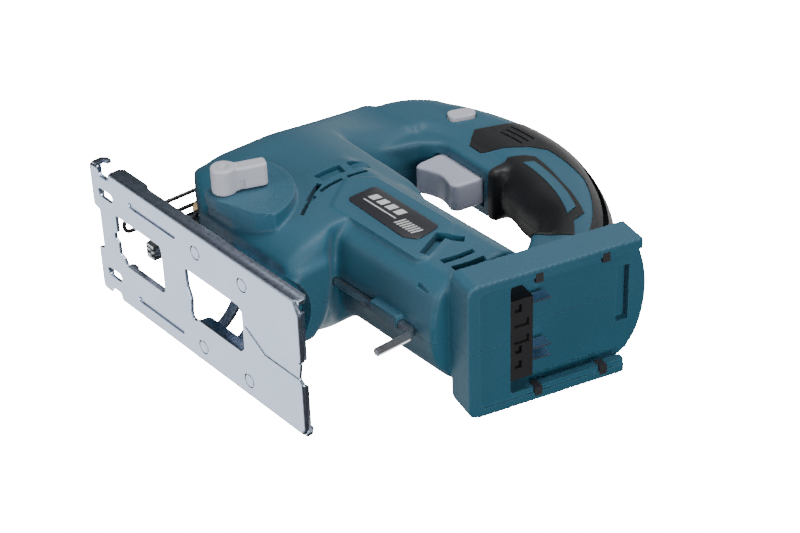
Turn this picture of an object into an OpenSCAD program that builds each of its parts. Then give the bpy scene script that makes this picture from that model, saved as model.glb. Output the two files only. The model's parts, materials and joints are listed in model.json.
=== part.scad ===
// Cordless jigsaw: D-handle power tool standing on its stamped steel shoe.
// +X runs rearward, +Y to the tool's right, +Z up. Z = 0 is the underside of the shoe,
// X = 0 is the bridge between the two windows of the shoe, Y = 0 its middle line. All sizes in millimetres.

/* [Shoe] */
// length of the steel shoe, front to rear
shoe_l = 175; // [165:1:190]
// width of the steel shoe
shoe_w = 77; // [72:1:92]
// sheet thickness of the shoe
shoe_t = 1.8; // [1.5:0.1:2.5]
// height of the turned-up side flanges
flange_h = 7; // [6:0.5:9]

/* [Body] */
// width of the head and motor tube
body_w = 66; // [62:1:80]
// height of the motor axis above the sole
motor_z = 92; // [92:0.5:95]
// width of the handle
grip_w = 36; // [30:1:44]
// outer radius of the handle arch
grip_r = 131.4; // [130:0.2:140]
// wall thickness of the plastic housing
wall = 3.2; // [2.6:0.1:4]

/* [Battery foot] */
// width of the battery foot
foot_w = 75; // [72:1:90]
// length of the battery foot along its face
foot_l = 103; // [100:1:110]
// tilt of the battery face
foot_tilt = 13.7; // [10:0.1:15]

/* [Stroke] */
// full stroke of the plunger rod
stroke = 18; // [14:1:20]
// radius of the plunger rod
rod_r = 4; // [3.5:0.1:4.6]
// width across flats of the stored hex key
key_af = 4; // [3:0.5:5]

/* [Fits] */
// radial clearance of running fits
run = 0.06; // [0.03:0.01:0.1]
// gap left between neighbouring pieces
gap = 0.3; // [0.2:0.05:0.5]

/* [Hidden] */
$fn = 48;

hw = body_w / 2;               // half width of the body
gw = grip_w / 2;               // half width of the handle
fw = foot_w / 2;               // half width of the battery foot
tube_r = hw + 1.5;             // radius of the motor tube
bx = 15.7; bz = 91.1;          // centre of the handle arch
grip_in = grip_r - 45;         // inner radius of the arch
sr = 43;                       // outer radius of the front shoulder of the handle
sx = bx + (grip_r - sr) * cos(120);
sz = bz + (grip_r - sr) * sin(120);
rod_x = -58;                   // plunger axis
yoke_z = 70;                   // height of the crank gear axis at mid stroke
gear_r = 18; pin_r = stroke / 2;
knob_x = -16; knob_z = 34;     // selector axis
fork_x = -48.4; fork_z = 11;     // guide roller axis
foot_x = 130; foot_z = 66;     // lower rear corner of the battery foot
floor_d = 12;                  // depth of the battery slot
arch_r = 27;                   // outer radius of the bevel arch, about the X axis
lever_a = 21;                  // rest angle of the selector lever from upright
fork_pivot = [-47.4, 44];      // pin of the guide fork
guard_pivot = [-72.5, 57.1];   // cross rod of the wire guard
key_r = key_af / sqrt(3);      // corner radius of the hex key
key_y = -2.4; key_z = motor_z - tube_r - 0.2;
bolt_x = [24, 38];             // clamp bolts of the bevel arch
bolt_r = 2.4;
switch_w = grip_w - 2 * wall - 4;
switch_z = 186;                // underside of the switch
buffer_z = [34.5, 70.5];       // rubber buffers along the battery rails

// sizes below are drawn from the middle of the shoe; the reference point is on the bridge
// between its two windows
module at() translate([16, 0, 0]) children();

// outline helpers
module side(w) rotate([90, 0, 0]) linear_extrude(w, center = true) children();
module front(x0, x1) translate([x0, 0, 0]) rotate([90, 0, 90]) linear_extrude(x1 - x0) children();
module rrect(x0, x1, y0, y1, r) {
  translate([x0 + r, y0]) square([x1 - x0 - 2 * r, y1 - y0]);
  translate([x0, y0 + r]) square([x1 - x0, y1 - y0 - 2 * r]);
  for (x = [x0 + r, x1 - r], y = [y0 + r, y1 - r]) translate([x, y]) circle(r);
}
module arc_bar(cx, cz, r0, r1, w, cr, a0, a1)
  translate([cx, 0, cz]) rotate([90, 0, 0]) rotate([0, 0, a0])
    rotate_extrude(angle = a1 - a0) rrect(r0, r1, -w / 2, w / 2, cr);
module in_foot() translate([foot_x, 0, foot_z]) rotate([0, foot_tilt, 0]) children();
module xcyl(x0, x1, r, y = 0, z = 0) translate([x0, y, z]) rotate([0, 90, 0]) cylinder(r = r, h = x1 - x0);
module ycyl(y0, y1, r, x = 0, z = 0) translate([x, y0, z]) rotate([-90, 0, 0]) cylinder(r = r, h = y1 - y0);
module zcyl(z0, z1, r, x = 0, y = 0) translate([x, y, z0]) cylinder(r = r, h = z1 - z0);

// section of the body across its length: round underneath, flat flanks, sloping shoulders
module body_section() {
  translate([0, hw + 27]) circle(hw);
  translate([-hw + 0.15, hw + 26]) square([2 * hw - 0.3, 86 - hw]);
  polygon([[-hw + 0.15, 111.9], [hw - 0.15, 111.9], [gw - 1, 150], [-gw + 1, 150]]);
}
module head_solid() intersection() {
  side(100) polygon([[-76, 54], [-77, 62], [-78, 139.5], [-22, 139.5], [-8, 126], [38, 124], [38.6, 58],
    [48.6, 46], [48.6, 27.5], [-30, 27.5], [-50, 40]]);
  linear_extrude(160) rrect(-77.9, 50, -hw - 1, hw + 1, 26);
  front(-90, 60) body_section();
}
module shoulder_side(i) {
  translate([sx, sz]) intersection() {
    circle(sr - 0.5 - i);
    polygon([[0, 0], 80 * [cos(115), sin(115)], 80 * [cos(150), sin(150)], 80 * [cos(183), sin(183)]]);
  }
  polygon([[sx - sr + 0.9 + i, sz], [sx, sz], [-23 - i, 150], [-23 - i, 128], [-77 + i, 128], [-77 + i, 150]]);
}
module trigger_side(i) polygon([[-26, 140], [-27, 179 - i], [56, 179 - i], [60, 166 + i], [24, 167.5 + i],
  [-10, 171 + i], [-20 - i, 160]]);
module handle_solid() {
  arc_bar(bx, bz, grip_in, grip_r, grip_w, 13, 38, 121);
  intersection() {
    side(grip_w - 1) shoulder_side(0);
    linear_extrude(240) rrect(-78.5, 40, -gw - 1, gw + 1, 11);
  }
  side(grip_w - 4) trigger_side(0);
}
module tube_solid() intersection() {
  xcyl(-10, 116, tube_r, 0, motor_z);
  translate([-20, -hw - 0.4, 0]) cube([200, 2 * hw + 0.8, 200]);
}
module foot_plan() intersection() {
  rrect(0, foot_l + 8, -fw, fw, 6);
  translate([foot_l - 64.5, 0]) circle(64.5);
}
module foot_block(x0, x1) in_foot() translate([x0, 0, 0])
  rotate([0, 90, 0]) linear_extrude(x1 - x0) mirror([1, 0]) foot_plan();
module neck_solid() side(grip_w - 2.4) polygon([[84, 144], [118, 171], [136, 168], [118, 100], [100, 100],
  [98, 128]]);

// vent openings: arcs round the front end of the label panel, on both flanks
module ring_seg(r0, r1, a0, a1) intersection() {
  difference() { circle(r1); circle(r0); }
  polygon([[0, 0], 90 * [cos(a0), sin(a0)], 90 * [cos((a0 + a1) / 2), sin((a0 + a1) / 2)],
    90 * [cos(a1), sin(a1)]]);
}
module vent_outline() {
  translate([62, 84]) for (a = [[165, 180], [183, 196], [199, 213]]) {
    ring_seg(52.5, 55.5, a[0], a[1]);
    ring_seg(58.5, 66, a[0], a[1]);
  }
  polygon([[87, 75], [79.5, 91], [90, 98], [92, 95.5], [83.2, 90], [90, 76]]);
  for (x = [97, 105]) polygon([[x, 77], [x + 3, 94], [x + 5.6, 93.5], [x + 2.6, 76.5]]);
}

// hollow of the housing: head, motor tube, handle and neck
module hollow() difference() {
  hollow_space();
  // ribs that carry the bushes, bearings and motor
  translate([-71, -40, 90]) cube([22, 80, 5]);
  translate([-21, -40, 40]) cube([4, 80, 80]);
  translate([-31, -12, 40]) cube([6, 24, 43]);
  translate([83, -40, 60]) cube([4, 80, 64]);
  for (x = [33, 70]) translate([x, -40, 60]) cube([3, 80, 64]);
}
module seats() {
  xcyl(-23, -15, 8.05, 0, motor_z);
  xcyl(81, 89, 8.05, 0, motor_z);
  xcyl(22, 80.2, 21.56, 0, motor_z);
  xcyl(-43, -24, 3.02, 0, yoke_z);
  zcyl(87, 98, rod_r + 3.55, rod_x, 0);
}
module hollow_space() {
  intersection() {
    translate([-70, -hw + wall + 1, 48]) cube([112, 2 * hw - 2 * wall - 2, 66]);
    front(-90, 60) {
      translate([0, hw + 27]) circle(hw - wall);
      translate([-hw, hw + 27]) square([2 * hw, 60]);
    }
  }
  xcyl(30, 108, tube_r - wall - 1.6, 0, motor_z);
  translate([-66, -gw + wall + 1, 102]) cube([36, grip_w - 2 * wall - 2, 62]);
  side(grip_w - 2 * wall - 4) {
    intersection() {
      translate([bx, bz]) difference() { circle(grip_r - wall - 2); circle(grip_in + wall + 2); }
      translate([bx, bz]) polygon([[0, 0], 220 * [cos(42), sin(42)], 220 * [cos(75), sin(75)],
        220 * [cos(122), sin(122)]]);
    }
    polygon([[-22, 172], [-22, 184.5], [52, 184.5], [52, 172]]);
  }
}

module housing(s) difference() {
  union() {
    head_solid();
    handle_solid();
    tube_solid();
    neck_solid();
    // lower skirt that sits over the bevel arch
    front(-2, 48.2) polygon([[-23, 50], [-23, 32], [-15.5, 23], [15.5, 23], [22.3, 34], [22.3, 50]]);
    foot_block(-20, 0);
    if (s < 0) {
      // raised frame round the label and the selector boss
      side_cut(-hw - 1.5, -hw + 2) polygon([[12, 92], [20, 102], [76, 101], [85, 92], [88.5, 78], [92, 63],
        [24, 66]]);
      difference() {
        intersection() {
          ycyl(-hw - 5.5, -hw + 20, 35, knob_x, knob_z);
          translate([knob_x, 0, knob_z - 8]) rotate([0, -17, 0]) translate([-9, -60, 0]) cube([60, 60, 60]);
        }
        xcyl(-60, 40, shoe_w / 2 + 2);
      }
      // hex key clip under the motor tube
      translate([70, -7, key_z - 3]) cube([20, 6.9, 9]);
    }
  }
  // keep one half only
  translate([-300, s < 0 ? 0 : -200, -100]) cube([700, 200, 500]);
  hollow();
  seats();
  // bevel arch seat and dust duct over it
  xcyl(-3, 50, arch_r + 1.2);
  translate([42, -16, 20]) cube([10, 32, 16]);
  // battery slot: shallow landing, deep channel, undercut rails, latch pocket
  in_foot() {
    translate([-1.5, -fw + 4.5, 5]) cube([10, foot_w - 9, 120]);
    translate([-floor_d, -fw + 6.5, 22]) cube([40, foot_w - 13, 120]);
    translate([-floor_d + 0.6, -fw + 4, 36]) cube([6, foot_w - 8, 120]);
    translate([-17, -16, 86]) cube([20, 32, 9]);
    for (z = buffer_z) translate([-6.2, s * (fw - 5) - 2.6, z]) cube([10, 5.2, 4.2]);
    translate([-22, -18, 22.3]) cube([12, 36, 12.3]);
  }
  side_cut(s < 0 ? -hw - 6 : hw - 6, s < 0 ? -hw + 6 : hw + 6) vent_outline();
  if (s < 0) side_cut(-hw - 1.6, -hw - 0.9) label_outline(0.15);
  // trigger opening and lock button hole
  translate([-15.3, -8.6, 140]) cube([41.3, 17.2, 44]);
  if (s < 0) {
    translate([-20.5, -gw - 3, 193]) rotate([0, 22, 0]) translate([-4.3, 0, -7.3]) cube([8.6, 12, 14.6]);
    ycyl(-hw - 6, 0, 4 + run, knob_x, knob_z);
    xcyl(37.8, 140, key_r + run, key_y, key_z);
  }
  // plunger and guard holes, guide fork opening
  zcyl(20, 60, rod_r + 3.55, rod_x, 0);
  translate([-90, -6, 53.6]) cube([20.6, 12, 8.6]);
  ycyl(-8, 8, 1.1 + run, guard_pivot[0], guard_pivot[1]);
  translate([-56, -7, 24.1]) cube([14, 14, 30]);
  translate([rod_x - 10.6, -8, 24.1]) cube([18.6, 16, 20.6]);
  ycyl(-9.5, 9.5, 1.5, fork_pivot[0], fork_pivot[1]);
  for (x = bolt_x) zcyl(20, 34, bolt_r, x, 0);
  // recesses for the soft grips
  arc_bar(bx, bz, grip_r - 3, grip_r + 5, grip_w - 8, 1, 41, 98);
  cheek(s, 2, 3, 0);
  // screw bores and counterbores
  for (p = screw_pts) ycyl(-60, 60, 2.2, p[0], p[1]);
  if (s > 0) for (p = screw_pts) ycyl(p[2] - 3.2, 60, 3.9, p[0], p[1]);
}
module side_cut(y0, y1) translate([0, y1, 0]) rotate([90, 0, 0]) linear_extrude(y1 - y0) children();
module label_outline(g) polygon([[25.2 - g, 78 - g], [25.4 - g, 96 + g], [75.5 + g, 95 + g], [77.5 + g, 80 - g],
  [71 + g, 75.6 - g]]);
screw_pts = [[-68, 128, gw], [-40, 185, gw], [60, 205.3, gw], [100.3, 166, gw], [35, 37, hw - 12], [-36, 104, hw - 1],
  [20, 118, 20], [112, 112, gw]];

// soft cheek panels
module cheek(s, t, over, g) translate([0, s > 0 ? gw + over : -gw + t, 0]) rotate([90, 0, 0])
  linear_extrude(t + over) translate([bx, bz]) intersection() {
    difference() { circle(grip_r - 15 - g); circle(grip_in + 8 + g); }
    polygon([[0, 0], 200 * [cos(45 + g), sin(45 + g)], 200 * [cos(66), sin(66)], 200 * [cos(86 - g), sin(86 - g)]]);
  }

module left_housing() color([0.09, 0.33, 0.4]) at() housing(-1);
module right_housing() color([0.09, 0.33, 0.4]) at() housing(1);
module spine_grip() color([0.08, 0.08, 0.09]) at() difference() {
  arc_bar(bx, bz, grip_r - 2.95, grip_r, grip_w - 8.1, 1.3, 41.1, 97.9);
  for (a = [44:2.6:94]) translate([bx + (grip_r + 0.3) * cos(a), 0, bz + (grip_r + 0.3) * sin(a)])
    ycyl(-20, 20, 0.9);
}
module grip_panel(s) difference() {
  cheek(s, 2, 0, 0.1);
  for (a = [58, 64, 70, 76]) translate([bx, s * gw, bz]) rotate([0, -a, 0])
    translate([grip_in + 12, -0.5, -0.4]) cube([7, 1, 0.8]);
  // slot for the coloured inlay
  translate([bx, 0, bz]) rotate([90, 0, 0]) rotate([0, 0, 51]) rotate_extrude(angle = 22)
    translate([grip_in + 21.5, s > 0 ? -gw - 1 : gw - 1.2]) square([4.2, 2.2]);
}
module left_grip() color([0.09, 0.09, 0.1]) at() grip_panel(-1);
module right_grip() color([0.09, 0.09, 0.1]) at() grip_panel(1);
module grip_inlays() color([0.1, 0.36, 0.43]) at() for (s = [-1, 1])
  translate([bx, 0, bz]) rotate([90, 0, 0]) rotate([0, 0, 51.1]) rotate_extrude(angle = 21.8)
    translate([grip_in + 21.6, s > 0 ? -gw : gw - 1.2]) square([4, 1.2]);
module label_plate() color([0.12, 0.12, 0.14]) at() side_cut(-hw - 1.5, -hw - 0.9) label_outline(0);

// trigger with a shallow finger hollow; slides up into the handle
module trigger() color([0.62, 0.64, 0.7]) at() side(16.6) difference() {
  polygon([[-10.5, 151], [-13.5, 156], [-12.5, 176], [22, 176], [22.5, 168], [19.5, 153.5], [16, 152.5],
    [8, 155.6], [-4, 154.6]]);
  translate([2, 146]) circle(8.6);
}
module trigger_spring() color([0.7, 0.7, 0.72]) at() for (k = [0:4])
  translate([4, 0, 176.6 + k * 2.2]) rotate_extrude() translate([3.2, 0]) circle(0.5, $fn = 16);
module switch_body() color([0.15, 0.15, 0.16]) at() {
  translate([-10, -switch_w / 2, switch_z]) cube([32, switch_w, 18]);
  translate([-9, -3, switch_z - 1.2]) cube([6, 6, 1.3]);
}
module lock_button() color([0.75, 0.76, 0.8]) at() translate([-20.5, -gw - 2.4, 193]) rotate([0, 22, 0]) {
  translate([-4, 0, -4]) cube([8, 6.5, 8]);
  translate([0, 0, 3]) ycyl(0, 6.5, 4);
  translate([0, 0, -3]) ycyl(0, 6.5, 4);
}

// selector: turned in four steps about the Y axis
module selector_knob() color([0.8, 0.81, 0.84]) at() {
  ycyl(-hw - 20, -hw - 5.8, 6.6, knob_x, knob_z);
  translate([knob_x, 0, knob_z]) rotate([0, lever_a, 0]) difference() {
    union() {
      translate([-4, -hw - 19.5, 0]) cube([8, 13.2, 18]);
      ycyl(-hw - 19.5, -hw - 6.3, 4, 0, 18);
    }
    ycyl(-hw - 40, -hw - 19, 2.5);
  }
}
module selector_shaft() color([0.7, 0.7, 0.72]) at() {
  ycyl(-hw - 5.7, -14, 4, knob_x, knob_z);
  ycyl(-14.2, -8, 3, knob_x + 0.8, knob_z);
}

// wire guard in front of the blade
module wire_guard() color([0.08, 0.08, 0.09]) at() {
  for (y = [-4, 4]) zcyl(14, 57, 1.1, -76.2, y);
  translate([-76.2, 0, 14]) rotate([90, 0, 90]) rotate([0, 0, 180]) rotate_extrude(angle = 180)
    translate([4, 0]) circle(1.1);
  for (y = [-4, 4]) translate([-76.9, y - 0.8, 56.2]) cube([4.4, 1.6, 1.8]);
  ycyl(-7.9, 7.9, 1.1, guard_pivot[0], guard_pivot[1]);
}

module hex_key() color([0.55, 0.56, 0.58]) at() {
  translate([38, key_y, key_z]) rotate([0, 90, 0]) cylinder(r = key_r, h = 58, $fn = 6);
  translate([96, key_y, key_z - 4.5]) rotate([90, 0, 0]) rotate_extrude(angle = 90)
    translate([4.5, 0]) circle(key_r, $fn = 6);
  translate([100.5, key_y, key_z - 23.8]) cylinder(r = key_r, h = 19.3, $fn = 6);
}

// stamped shoe
module shoe_plate() color([0.72, 0.76, 0.8]) at() difference() {
  union() {
    linear_extrude(shoe_t) difference() {
      rrect(-shoe_l / 2, shoe_l / 2, -shoe_w / 2, shoe_w / 2, 5);
      rrect(-67, -26, -15.5, 12.5, 2);
      rrect(-5.5, 41, -13, 14, 2);
      for (s = [-1, 1]) translate([-74, s * shoe_w * 0.31]) rrect(-6.5, 6.5, -2.6, 2.6, 2.5);
      translate([-shoe_l / 2 - 1, -13]) square([5, 25]);
      translate([shoe_l / 2 - 3, -7]) square([5, 14]);
    }
    // side flanges, higher towards the front
    for (s = [-1, 1]) {
      translate([-45, s * (shoe_w / 2 - shoe_t / 2) - shoe_t / 2, 0]) cube([shoe_l / 2 + 38, shoe_t, flange_h]);
      translate([-68, s * (shoe_w / 2 - shoe_t / 2) - shoe_t / 2, 0]) cube([24, shoe_t, flange_h + 2]);
    }
    // turned-up front lip with hooks for the parallel guide bar
    for (y = [-shoe_w / 2 + 3, 13]) translate([-shoe_l / 2, y, 0]) cube([shoe_t, shoe_w / 2 - 16, 6.5]);
    for (s = [-1, 1]) translate([-80, s * (shoe_w / 2 - shoe_t / 2 - 0.2) - shoe_t / 2, 0]) cube([5, shoe_t, 9.5]);
    // window flanges
    translate([-62, 12.5, 0]) cube([33, shoe_t, 4.5]);
    translate([2, 14, 0]) cube([36, shoe_t, 6.5]);
    // pressed ribs
    for (s = [-1, 1]) translate([-53, s * shoe_w * 0.365 - 2.2, shoe_t]) cube([42, 4.4, 0.8]);
    // rolled rear edge
    for (y = [-shoe_w / 2 + 5, 9]) translate([shoe_l / 2 - shoe_t, y, 0]) cube([shoe_t, shoe_w / 2 - 14, 3.4]);
    for (x = [5, 43], s = [-1, 1]) zcyl(0, shoe_t + 0.6, 3.7, x, s * shoe_w * 0.36 + 1);
  }
  for (x = [5, 43], s = [-1, 1]) difference() {
    zcyl(-1, 0.35, 3.7, x, s * shoe_w * 0.36 + 1);
    zcyl(-1, 0.36, 3.1, x, s * shoe_w * 0.36 + 1);
  }
}
module shoe_arch() color([0.6, 0.63, 0.66]) at() difference() {
  union() {
    front(0, 48) intersection() {
      difference() { circle(arch_r); circle(arch_r - 2); }
      translate([-arch_r, 6]) square([2 * arch_r, arch_r]);
    }
    for (s = [-1, 1]) translate([0, s > 0 ? 24.6 : -33.8, shoe_t + 0.6]) cube([48, 9.2, 2]);
    for (s = [-1, 1]) translate([0, s > 0 ? 24.6 : -26.6, shoe_t + 0.6]) cube([48, 2, 6]);
  }
  // slots for the clamp bolts and the lighter front strap
  for (x = bolt_x) front(x - bolt_r - 0.2, x + bolt_r + 0.2) difference() {
    intersection() { circle(40); polygon([[0, 0], [54, 40], [-54, 40]]); }
    circle(15);
  }
  front(6, 17) polygon([[5, 6], [40, 8], [40, 22], [8, 24]]);
}
module clamp_bolts() color([0.35, 0.36, 0.38]) at() for (x = bolt_x) {
  zcyl(16, 34, bolt_r, x, 0);
  difference() { zcyl(12, 16, 4.4, x, 0); translate([x, 0, 11]) cylinder(r = 2.3, h = 3, $fn = 6); }
}
module clamp_bar() color([0.4, 0.41, 0.43]) at() difference() {
  front(17.5, 44.5) intersection() {
    difference() { circle(arch_r - 2 - 0.05); circle(arch_r - 5); }
    polygon([[0, 0], [14, 40], [-14, 40]]);
  }
  for (x = bolt_x) zcyl(10, 40, bolt_r + run, x, 0);
}

// blade drive
module plunger_rod() color([0.78, 0.79, 0.8]) at() difference() {
  zcyl(34.9, 108, rod_r, rod_x, 0);
  ycyl(-9, 9, 1.5, rod_x, 39);
}
module bush(z0, z1) difference() {
  zcyl(z0, z1, rod_r + 3.5, rod_x, 0);
  zcyl(z0 - 1, z1 + 1, rod_r + run, rod_x, 0);
}
module upper_bush() color([0.72, 0.55, 0.3]) at() bush(88, 97);
module lower_bush() color([0.72, 0.55, 0.3]) at() bush(45.5, 53.5);
module yoke() color([0.5, 0.52, 0.54]) at() difference() {
  union() {
    zcyl(yoke_z - 5, yoke_z + 5, rod_r + 2.6, rod_x, 0);
    translate([rod_x + 2, -15, yoke_z - 6]) cube([7.5, 30, 12]);
  }
  zcyl(yoke_z - 20, yoke_z + 20, rod_r, rod_x, 0);
  translate([rod_x + rod_r + 1.2, -12.8, yoke_z - 3.5 - run]) cube([20, 25.6, 7 + 2 * run]);
}
module blade_clamp() color([0.45, 0.46, 0.48]) at() difference() {
  zcyl(25.5, 34.9, 5.2, rod_x, 0);
  translate([rod_x - 4, -0.8, 20]) cube([8, 1.6, 13]);
}
module clamp_collar() color([0.12, 0.12, 0.13]) at() difference() {
  union() {
    zcyl(25.6, 34.8, 7, rod_x, 0);
    translate([rod_x - 9.6, -1.8, 26]) cube([4, 3.6, 8]);
  }
  zcyl(20, 40, 5.2 + run, rod_x, 0);
}
module crank_gear() color([0.55, 0.56, 0.58]) at() {
  difference() {
    union() {
      xcyl(-42, -35, gear_r - 1, 0, yoke_z);
      for (k = [0:35]) translate([0, 0, yoke_z]) rotate([k * 10, 0, 0])
        translate([-42, -0.65, gear_r - 1.5]) cube([7, 1.3, 2.2]);
    }
    xcyl(-50, -20, 3 + run, 0, yoke_z);
  }
  xcyl(-48.4, -41.9, 2.2, pin_r, yoke_z);
}
module crank_roller() color([0.8, 0.78, 0.7]) at() difference() {
  xcyl(-48.4, -43.2, 3.5, pin_r, yoke_z);
  xcyl(-50, -40, 2.2 + run, pin_r, yoke_z);
}
module gear_shaft() color([0.7, 0.7, 0.72]) at() xcyl(-42, -22, 3, 0, yoke_z);
module guide_fork() color([0.66, 0.68, 0.7]) at() difference() {
  union() {
    for (s = [-1, 1]) translate([fork_x - 2, s > 0 ? 2.6 : -4.2, 6.5]) cube([6.4, 1.6, 38]);
    translate([-45.6, -2.7, 18]) cube([1.6, 5.4, 26.5]);
    ycyl(-4.2, 4.2, 3.2, fork_pivot[0], fork_pivot[1]);
  }
  ycyl(-10, 10, 1.5, fork_x, fork_z);
  ycyl(-10, 10, 1.5 + run, fork_pivot[0], fork_pivot[1]);
}
module fork_pin() color([0.5, 0.5, 0.52]) at() ycyl(-9.4, 9.4, 1.5, fork_pivot[0], fork_pivot[1]);
module guide_roller() color([0.75, 0.76, 0.78]) at() difference() {
  ycyl(-2.3, 2.3, 5, fork_x, fork_z);
  ycyl(-5, 5, 1.5 + run, fork_x, fork_z);
  difference() { ycyl(-0.9, 0.9, 6, fork_x, fork_z); ycyl(-1, 1, 4, fork_x, fork_z); }
}
module roller_pin() color([0.5, 0.5, 0.52]) at() ycyl(-4.4, 4.4, 1.5, fork_x, fork_z);

// motor
module motor_can() color([0.5, 0.52, 0.54]) at() difference() {
  xcyl(22, 80, 21.5, 0, motor_z);
  xcyl(24, 78.5, 19.5, 0, motor_z);
  xcyl(20, 90, 5.6, 0, motor_z);
  for (a = [0:90:270]) translate([0, 0, motor_z]) rotate([a + 45, 0, 0]) translate([26, -5, 15]) cube([10, 10, 10]);
}
module armature() color([0.62, 0.5, 0.36]) at() {
  xcyl(-28, 88, 2.5, 0, motor_z);
  xcyl(32, 64, 17.5, 0, motor_z);
  xcyl(67, 75, 8, 0, motor_z);
}
module pinion() color([0.6, 0.6, 0.62]) at() {
  xcyl(-40, -28.1, 2.6, 0, motor_z);
  for (k = [0:7]) translate([0, 0, motor_z]) rotate([k * 45 + 22.5, 0, 0])
    translate([-40, -0.6, 2]) cube([11.9, 1.2, 2.4]);
}
module fan() color([0.14, 0.14, 0.15]) at() difference() {
  union() {
    xcyl(6, 16, 6, 0, motor_z);
    xcyl(14, 16, 21, 0, motor_z);
    for (k = [0:11]) translate([0, 0, motor_z]) rotate([k * 30, 0, 0]) translate([6.8, -0.7, 5]) cube([8, 1.4, 15.2]);
  }
  xcyl(0, 20, 2.5, 0, motor_z);
}
module bearing(x0, x1) difference() {
  xcyl(x0, x1, 8, 0, motor_z);
  xcyl(x0 - 1, x1 + 1, 2.5 + run, 0, motor_z);
}
module front_bearing() color([0.7, 0.71, 0.73]) at() bearing(-22, -16);
module rear_bearing() color([0.7, 0.71, 0.73]) at() bearing(82, 88);

// electrics
module control_board() color([0.1, 0.4, 0.2]) at() {
  translate([92, -25, motor_z - 16]) cube([1.6, 50, 32]);
  translate([93.6, -8, 84]) cube([7, 14, 9]);
}
module contact_block() color([0.08, 0.08, 0.09]) at() in_foot() difference() {
  translate([-floor_d + 0.05, -22.5, 22.2]) cube([floor_d - 1.6, 45.5, 11.8]);
  for (y = [-17.5, 6, 14.5]) translate([-4, y - 2.2, 24.5]) cube([6, 4.4, 3.6]);
  for (y = [-9, 0.5]) translate([-3.6, y - 2.2, 24]) cube([6, 4.4, 8]);
  for (y = [-17.8, 8.8, 15]) translate([-9.5, y - 0.4, 28.4]) cube([7, 0.8, 7]);
}
module contact_blades() color([0.8, 0.8, 0.82]) at() in_foot()
  for (y = [-17.8, 8.8, 15]) translate([-9.5, y - 0.35, 28.5]) cube([7, 0.7, 16]);
module rail_buffers() color([0.05, 0.05, 0.06]) at() in_foot()
  for (z = buffer_z, s = [-1, 1]) translate([-6, s * (fw - 5) - 2.4, z + 0.1]) cube([6.2, 4.8, 4]);
module housing_screws() color([0.3, 0.3, 0.32]) at() for (p = screw_pts) {
  ycyl(-p[2] + 6, p[2] - 3.2, 2, p[0], p[1]);
  difference() {
    ycyl(p[2] - 3.2, p[2] - 0.8, 3.6, p[0], p[1]);
    translate([p[0] - 1.8, p[2] - 1.8, p[1] - 0.5]) cube([3.6, 2, 1]);
    translate([p[0] - 0.5, p[2] - 1.8, p[1] - 1.8]) cube([1, 2, 3.6]);
  }
}
module lead_wires() color([0.6, 0.1, 0.08]) at() for (y = [-5, 5])
  translate([bx, 0, bz]) rotate([90, 0, 0]) rotate([0, 0, 48]) rotate_extrude(angle = 38.4)
    translate([grip_in + 20, y]) circle(1.1);

left_housing();
right_housing();
spine_grip();
left_grip();
right_grip();
label_plate();
trigger();
trigger_spring();
switch_body();
lock_button();
selector_knob();
selector_shaft();
wire_guard();
hex_key();
shoe_plate();
shoe_arch();
clamp_bolts();
clamp_bar();
plunger_rod();
upper_bush();
lower_bush();
yoke();
blade_clamp();
clamp_collar();
crank_gear();
crank_roller();
gear_shaft();
guide_fork();
guide_roller();
roller_pin();
fork_pin();
motor_can();
armature();
pinion();
fan();
front_bearing();
rear_bearing();
control_board();
contact_block();
contact_blades();
rail_buffers();
housing_screws();
grip_inlays();
lead_wires();
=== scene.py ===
import json
import math

import bmesh
import bpy
import numpy as np
from mathutils import Matrix, Vector


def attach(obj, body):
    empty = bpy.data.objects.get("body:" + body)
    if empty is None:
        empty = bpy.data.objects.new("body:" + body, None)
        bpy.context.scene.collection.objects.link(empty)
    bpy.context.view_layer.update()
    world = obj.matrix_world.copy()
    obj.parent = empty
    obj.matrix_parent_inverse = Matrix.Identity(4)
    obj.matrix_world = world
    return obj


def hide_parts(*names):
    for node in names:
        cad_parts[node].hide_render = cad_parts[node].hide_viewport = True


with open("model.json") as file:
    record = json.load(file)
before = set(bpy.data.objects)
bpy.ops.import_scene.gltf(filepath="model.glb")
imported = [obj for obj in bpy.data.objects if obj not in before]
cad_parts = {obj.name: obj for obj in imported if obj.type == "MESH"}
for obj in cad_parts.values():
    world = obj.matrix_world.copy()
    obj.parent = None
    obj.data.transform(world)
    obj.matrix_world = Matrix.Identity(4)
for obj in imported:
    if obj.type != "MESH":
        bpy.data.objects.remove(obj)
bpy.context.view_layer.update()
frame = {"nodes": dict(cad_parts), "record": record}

NODES = frame["nodes"]

# Sizes below are in millimetres, measured from the middle of the shoe as the drawing is.
# The model's own reference point lies SHIFT further forward, on the bridge of the shoe.
SHIFT = 16.0
HALF_BODY = 33.0
BOSS_FACE = -HALF_BODY - 5.5    # outer face of the selector boss
HALF_GRIP = 18.0
HALF_FOOT = 37.5
MOTOR_Z = 92.0
TUBE_R = 34.5
ARCH = (15.7, 91.1)
GRIP_R = 131.4
GRIP_IN = 86.4
KNOB = (-16.0, 34.0)
LEVER_ANGLE = math.radians(21)
FOOT = (130.0, 66.0)
FOOT_TILT = math.radians(13.7)
SHOE_L, SHOE_W, SHOE_T = 175.0, 77.0, 1.8
SEAM = 0.12


def place(x, y, z):
    return Vector(((x + SHIFT) / 1000, y / 1000, z / 1000))


def foot_place(depth, y, along):
    """A point on the battery foot: depth out of its face, y across, and along it from its lower edge."""
    c, s = math.cos(FOOT_TILT), math.sin(FOOT_TILT)
    return place(FOOT[0] + depth * c + along * s, y, FOOT[1] - depth * s + along * c)


# ---- mesh helpers

def to_object(name, bm):
    bmesh.ops.recalc_face_normals(bm, faces=bm.faces)
    mesh = bpy.data.meshes.new(name)
    bm.to_mesh(mesh)
    bm.free()
    obj = bpy.data.objects.new(name, mesh)
    bpy.context.scene.collection.objects.link(obj)
    return obj


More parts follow.
